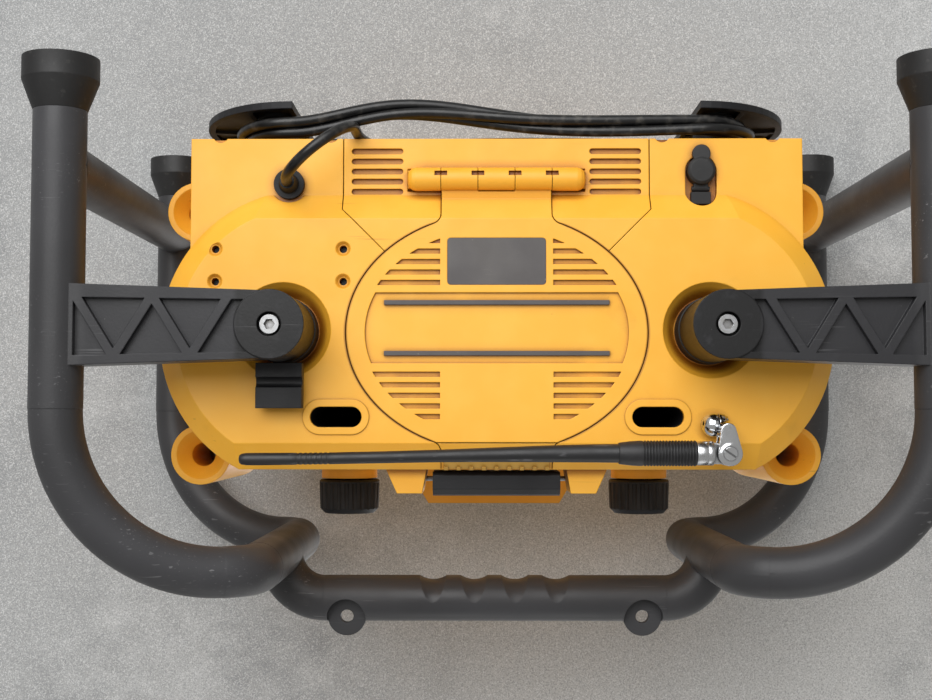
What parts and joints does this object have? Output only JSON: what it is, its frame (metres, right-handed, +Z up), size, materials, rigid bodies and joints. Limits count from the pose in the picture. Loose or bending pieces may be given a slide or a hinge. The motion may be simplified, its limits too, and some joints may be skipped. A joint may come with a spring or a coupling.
{
  "type": "jobsite radio",
  "caption": "Jobsite radio with a tubular roll cage, twin speakers, top knobs, battery door, folding aerial and wound mains cord.",
  "frame": {"origin": "on the ground, under the middle of the cage", "axes": "+Z up, the front with the speakers and display faces -Y, +X towards the aerial's pivot"},
  "size_m": [0.501, 0.3098, 0.3232],
  "materials": {
    "safety_plastic": "moulded ABS, satin with faint grain and dirt",
    "keeper_plastic": "satin moulded plastic",
    "black_plastic": "satin nylon tube and mouldings with fine scuffs",
    "dark_plastic": "matt moulded plastic",
    "black_rubber": "matt rubber",
    "bright_steel": "zinc-plated steel",
    "chrome": "polished chrome plate",
    "brass": "machined brass",
    "circuit_board": "fibreglass board with lacquer",
    "lcd": "liquid-crystal glass",
    "clear_window": "clear polycarbonate",
    "dark_steel": "black powder coat",
    "cone_paper": "pressed paper with rubber surround",
    "label_grey": "satin dark grey print film"
  },
  "bodies": {
    "radio": {"frame_rear_left": "black_plastic", "frame_rear_right": "black_plastic", "frame_front_left": "black_plastic", "frame_front_right": "black_plastic", "side_bar_left": "black_plastic", "side_bar_right": "black_plastic", "carry_handle": "black_plastic", "rubber_feet": "black_rubber", "isolators": "black_rubber", "isolator_sleeves": "bright_steel", "cage_bolts": "bright_steel", "bolt_inserts": "brass", "rear_casing": "safety_plastic", "hinge_panel": "safety_plastic", "latch_keeper": "keeper_plastic", "front_casing": "safety_plastic", "front_panel": "safety_plastic", "battery_tray": "dark_plastic", "battery_contacts": "brass", "charger_board": "circuit_board", "transformer": "dark_steel", "main_board": "circuit_board", "tuner_can": "bright_steel", "port_tubes": "dark_plastic", "speaker_basket_left": "dark_steel", "speaker_basket_right": "dark_steel", "speaker_cone_left": "cone_paper", "speaker_cone_right": "cone_paper", "speaker_guard_left": "black_plastic", "speaker_guard_right": "black_plastic", "speaker_meshes": "dark_steel", "display_bezel": "black_plastic", "display_window": "clear_window", "display_module": "lcd", "volume_pot": "bright_steel", "tuning_encoder": "bright_steel", "corner_screws": "bright_steel", "case_screws": "bright_steel", "pivot_pins": "bright_steel", "aerial_socket": "chrome", "aerial_clip": "black_plastic", "aux_jack": "dark_plastic", "cord_gland": "black_rubber", "power_cord": "black_rubber", "mains_plug": "black_rubber", "cord_hook_left": "black_plastic", "cord_hook_right": "black_plastic"},
    "battery_door": {"battery_door": "safety_plastic", "door_badge": "label_grey", "door_label": "label_grey"},
    "latch": {"door_latch": "black_plastic"},
    "aerial_base": {"aerial_elbow": "chrome"},
    "aerial": {"aerial_whip": "black_rubber"},
    "aux_flap": {"aux_cover": "black_rubber"},
    "volume": {"volume_knob": "black_rubber"},
    "tuning": {"tuning_knob": "black_rubber"},
    "power_button": {"power_key": "black_rubber"},
    "mode_button": {"mode_key": "black_rubber"},
    "seek_down_button": {"seek_down_key": "black_rubber"},
    "seek_up_button": {"seek_up_key": "black_rubber"}
  },
  "joints": [
    {"name": "battery_door_hinge", "type": "hinge", "parent": "radio", "child": "battery_door", "pos_m": [0, 0.091, 0.0561], "axis": [-1, 0, 0], "range_deg": [0, 105]},
    {"name": "latch_pivot", "type": "hinge", "parent": "radio", "child": "latch", "pos_m": [0, 0.053, 0.2243], "axis": [1, 0, 0], "range_deg": [0, 35], "stiffness_Nm_per_rad": 0.15, "springref_deg": -5.73},
    {"name": "aerial_swivel", "type": "hinge", "parent": "radio", "child": "aerial_base", "pos_m": [0.117, 0.106, 0.193], "axis": [1, 0, 0], "range_deg": [-90, 0]},
    {"name": "aerial_fold", "type": "hinge", "parent": "aerial_base", "child": "aerial", "pos_m": [0.123, 0.116, 0.208], "axis": [0, 1, 0], "range_deg": [0, 90]},
    {"name": "volume_turn", "type": "hinge", "parent": "radio", "child": "volume", "pos_m": [-0.0915, -0.015, 0.238], "axis": [0, 0, 1], "range_deg": [-150, 150]},
    {"name": "tuning_turn", "type": "hinge", "parent": "radio", "child": "tuning", "pos_m": [0.0915, -0.015, 0.238], "axis": [0, 0, 1], "continuous": true},
    {"name": "power_button_travel", "type": "slide", "parent": "radio", "child": "power_button", "axis": [0, 1, 0], "range_m": [0, 0.0015], "stiffness_N_per_m": 400, "springref_m": -0.0015},
    {"name": "mode_button_travel", "type": "slide", "parent": "radio", "child": "mode_button", "axis": [0, 1, 0], "range_m": [0, 0.0015], "stiffness_N_per_m": 400, "springref_m": -0.0015},
    {"name": "seek_down_button_travel", "type": "slide", "parent": "radio", "child": "seek_down_button", "axis": [0, 1, 0], "range_m": [0, 0.0015], "stiffness_N_per_m": 400, "springref_m": -0.0015},
    {"name": "seek_up_button_travel", "type": "slide", "parent": "radio", "child": "seek_up_button", "axis": [0, 1, 0], "range_m": [0, 0.0015], "stiffness_N_per_m": 400, "springref_m": -0.0015},
    {"name": "aux_flap_hinge", "type": "hinge", "parent": "radio", "child": "aux_flap", "pos_m": [0.1146, 0.0864, 0.0608], "axis": [1, 0, 0], "range_deg": [0, 90], "stiffness_Nm_per_rad": 0.006}
  ]
}
